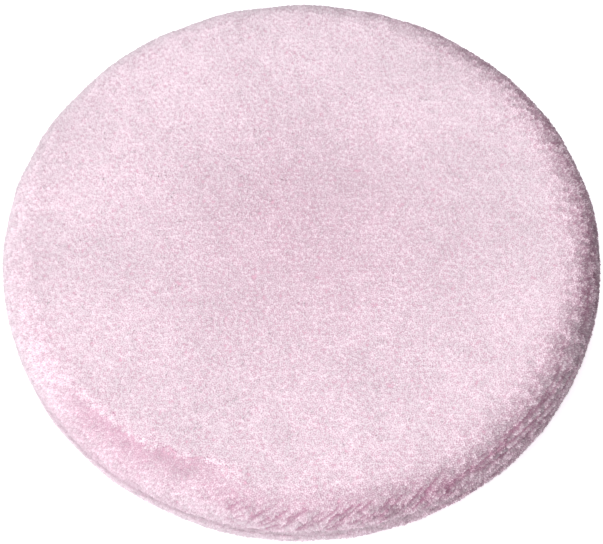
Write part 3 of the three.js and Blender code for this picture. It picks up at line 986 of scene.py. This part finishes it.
def velourPile():
    material, shader = newMaterial("velourPile", {
        "Roughness": 0.75, "Specular IOR Level": 0.3, "Sheen Weight": 0.15,
        "Sheen Roughness": 0.45, "Sheen Tint": linearColour("#fff2f7"),
    })
    share, tone, nap = [
        addNode(material, "Attribute", {"attribute_name": name}, {}).outputs["Fac"]
        for name in ("tipShareLessPaintedShade", "tuftTone", "napTone")
    ]
    ramp = addRamp(material, share, (pileColours["root"], pileColours["tip"]), (0.1, 1.0))
    ramp.color_ramp.elements.new(0.6).color = linearColour(pileColours["middle"])
    patchy = addNode(material, "MapRange", {}, {
        "Value": nap, "From Min": -0.5, "From Max": 0.5, "To Min": 0.96, "To Max": 1.04,
    })
    value = multiply(material, "Math", tone, patchy.outputs["Result"])
    toned = addNode(material, "HueSaturation", {}, {"Color": ramp.outputs["Color"], "Value": value})
    connect(material, toned.outputs["Color"], shader, "Base Color")
    return material


# A grain of the size given in millimetres is both a ramp between two colours and a bump
def grainyMaterial(name):
    sockets, grain, kind, output, more, colours, positions, strength, depth = grains[name]
    material, shader = newMaterial(name, sockets)
    spot = addNode(material, "TexCoord", {}, {})
    inputs = {"Vector": spot.outputs["Object"], "Scale": 1 / (grain * mm), **more}
    value = addNode(material, kind, {}, inputs).outputs[output]
    addRampAndBump(material, shader, value, value, colours, positions, strength, depth)
    return material


def addRampAndBump(material, shader, value, raised, colours, positions, strength, depth):
    ramp = addRamp(material, value, colours, positions)
    inputs = {"Strength": strength, "Distance": depth * mm, "Height": raised}
    bump = addNode(material, "Bump", {}, inputs)
    connect(material, ramp.outputs["Color"], shader, "Base Color")
    connect(material, bump.outputs["Normal"], shader, "Normal")


grains = {
    # the knitted back of the cloth, seen only in the partings
    "velourGround": (
        {"Roughness": 0.9, "Sheen Weight": 0.2},
        pile["pitch"], "TexVoronoi", "Distance", {}, ("#dab3c3", "#cfa4b6"), (0, 1), 0.5, 0.1,
    ),
    # spun polyester sewing thread: two matt plies with a little fuzz along each
    "spunThread": (
        {"Roughness": 0.7, "Specular IOR Level": 0.35, "Sheen Weight": 0.4, "Sheen Roughness": 0.5},
        0.12, "TexNoise", "Fac", {"Detail": 3.0}, ("#cf9ab3", "#eac4d4"), (0, 1), 0.4, 0.03,
    ),
    # open-cell polyurethane foam, cut from a slab: cream, quite matt, and full of pores
    "openCellFoam": (
        {"Roughness": 0.95, "Specular IOR Level": 0.2},
        0.5, "TexVoronoi", "Distance", {}, ("#d9cdb8", "#f5efe3"), (0.1, 0.5), 0.6, 0.15,
    ),
}


# Satin ribbon: warp threads float along it, so it shines in bands across the bend
def satinRibbon():
    material, shader = newMaterial("satinRibbon", {
        "Roughness": 0.38, "Specular IOR Level": 0.5, "Anisotropic": 0.5, "Sheen Weight": 0.15,
    })
    place = addNode(material, "UVMap", {"uv_map": "UVMap"}, {}).outputs["UV"]
    scaled = multiply(material, "VectorMath", place, (ribbonLength, ribbon["width"], 0))
    across = addNode(material, "SeparateXYZ", {}, {"Vector": scaled}).outputs["Y"]
    warp = multiply(material, "Math", across, math.tau / ribbon["warpPitch"])
    warp = addNode(material, "Math", {"operation": "SINE"}, {0: warp}).outputs[0]
    drawn = multiply(material, "VectorMath", scaled, (0.5, 6, 1))
    slubs = addNode(material, "TexNoise", {}, {"Vector": drawn, "Scale": 1.0, "Detail": 3.0}).outputs["Fac"]
    colours, positions = ("#c9a8b6", "#d8bfca"), (0.3, 0.75)
    addRampAndBump(material, shader, slubs, warp, colours, positions, 0.35, 0.04)
    return material


# Build
ground = grainyMaterial("velourGround")
pileMaterial = velourPile()

faceVelour = modelPanel("faceVelour", False)
faceVelour.data.materials.append(ground)
print("face panel modelled")
backVelour = modelPanel("backVelour", True)
backVelour.data.materials.append(ground)
print("back panel modelled")

lock = modelLock("lock")
tuftRandom = np.random.default_rng(pile["seed"])
tufts = [gatherTuft(lock, tuftRandom) for k in range(pile["kinds"])]
bpy.data.objects.remove(lock)

facePile = sowPile([f"facePile{k + 1}" for k in range(5)], faceVelour, False, tufts, pileMaterial)
print("face pile sown")
backPile = sowPile([f"backPile{k + 1}" for k in range(5)], backVelour, True, tufts, pileMaterial)
print("back pile sown")

foamCore = modelFoam()
foamCore.data.materials.append(grainyMaterial("openCellFoam"))
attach(foamCore, "puff")
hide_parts("foam_core")
print("foam modelled")

sewing = grainyMaterial("spunThread")
for name, node in (("seamThread", "seam_thread"), ("closingThread", "closing_thread")):
    thread = modelThread(name, stitch[node.split("_")[0]])
    thread.data.materials.append(sewing)
    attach(thread, "puff")
    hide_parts(node)
print("whip stitch modelled")

ribbonRight, ribbonLength = modelRibbon("ribbonRight", 1)
ribbonLeft, ribbonLength = modelRibbon("ribbonLeft", -1)
satin = satinRibbon()
for half, end, side in ((ribbonRight, "ribbon_end_right", 1), (ribbonLeft, "ribbon_end_left", -1)):
    cutHoles(half, seamZ)
    half.data.materials.append(satin)
    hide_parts(end, "finger_ribbon")
    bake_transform(half)
print(f"ribbon modelled, {2 * ribbonLength:.1f} mm long")

for piece in [faceVelour, backVelour, *facePile, *backPile]:
    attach(piece, "puff")
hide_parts("face_velour")
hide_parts("back_velour")


# Studio: a light table for a floor, and lights so large that they are suns
studio = {
    "floorSize": 6000,
    "floorColour": "#f7f6f8",
    "floorGlow": 0.5,
    "lights": {  # way to the light, how wide it is in degrees, and its strength
        "overheadLight": ((-0.3, 0.06, 1), 55, 2.8),
        "leftLight": ((-0.62, -0.78, 0.5), 60, 0.9),
        "frontLight": ((-0.37, -1, 0.38), 60, 1.65),
    },
    "airColour": "#f6f4fa",
    "airStrength": 0.15,
    "backdropStrength": 1.3,  # what the camera itself sees beyond the floor
}


def buildStudio():
    bpy.ops.object.select_all(action="DESELECT")
    bpy.ops.mesh.primitive_plane_add(size=studio["floorSize"] * mm, location=(0, 0, 0))
    floor = bpy.context.object
    floor.name = "floor"
    colour = linearColour(studio["floorColour"])
    material = newMaterial("studioFloor", {
        "Roughness": 0.9, "Specular IOR Level": 0.1, "Base Color": colour,
        "Emission Color": colour, "Emission Strength": studio["floorGlow"],
    })[0]
    floor.data.materials.append(material)
    for name, (way, width, strength) in studio["lights"].items():
        bpy.ops.object.light_add(type="SUN", location=Vector(way))
        light = bpy.context.object
        light.name = light.data.name = name
        light.data.angle = math.radians(width)
        light.data.energy = strength
        light.rotation_mode = "QUATERNION"
        light.rotation_quaternion = (-Vector(way)).to_track_quat("-Z", "Y")
    world = bpy.data.worlds.new("studioAir")
    world.use_nodes = True
    bpy.context.scene.world = world
    nodes = world.node_tree.nodes
    air, colour = nodes["Background"], linearColour(studio["airColour"])
    air.inputs["Color"].default_value, air.inputs["Strength"].default_value = colour, studio["airStrength"]
    backdrop = addNode(world, "Background", {}, {"Color": colour, "Strength": studio["backdropStrength"]})
    seen = addNode(world, "LightPath", {}, {}).outputs["Is Camera Ray"]
    shaders = {1: air.outputs["Background"], 2: backdrop.outputs["Background"]}
    either = addNode(world, "MixShader", {}, {"Fac": seen, **shaders})
    connect(world, either.outputs["Shader"], nodes["World Output"], "Surface")
    bpy.context.scene.view_settings.view_transform = "Standard"


# Camera at the photograph's place: the puff's outline is 600 by 538 pixels, in a frame of 603 by 544
view = {
    "lens": 100,
    "distance": 224.2,
    "elevation": math.radians(60.64),
    "aim": (0, -2.8, 7),
}


def placeCamera():
    data = bpy.data.cameras.new("camera")
    data.lens = view["lens"]
    data.clip_start = 0.01
    data.clip_end = 20
    camera = bpy.data.objects.new("camera", data)
    back = Vector((0, -math.cos(view["elevation"]), math.sin(view["elevation"])))
    camera.location = (Vector(view["aim"]) + back * view["distance"]) * mm
    camera.rotation_mode = "QUATERNION"
    camera.rotation_quaternion = (-back).to_track_quat("-Z", "Y")
    bpy.context.scene.collection.objects.link(camera)
    bpy.context.scene.camera = camera


buildStudio()
placeCamera()
print("studio and camera placed")
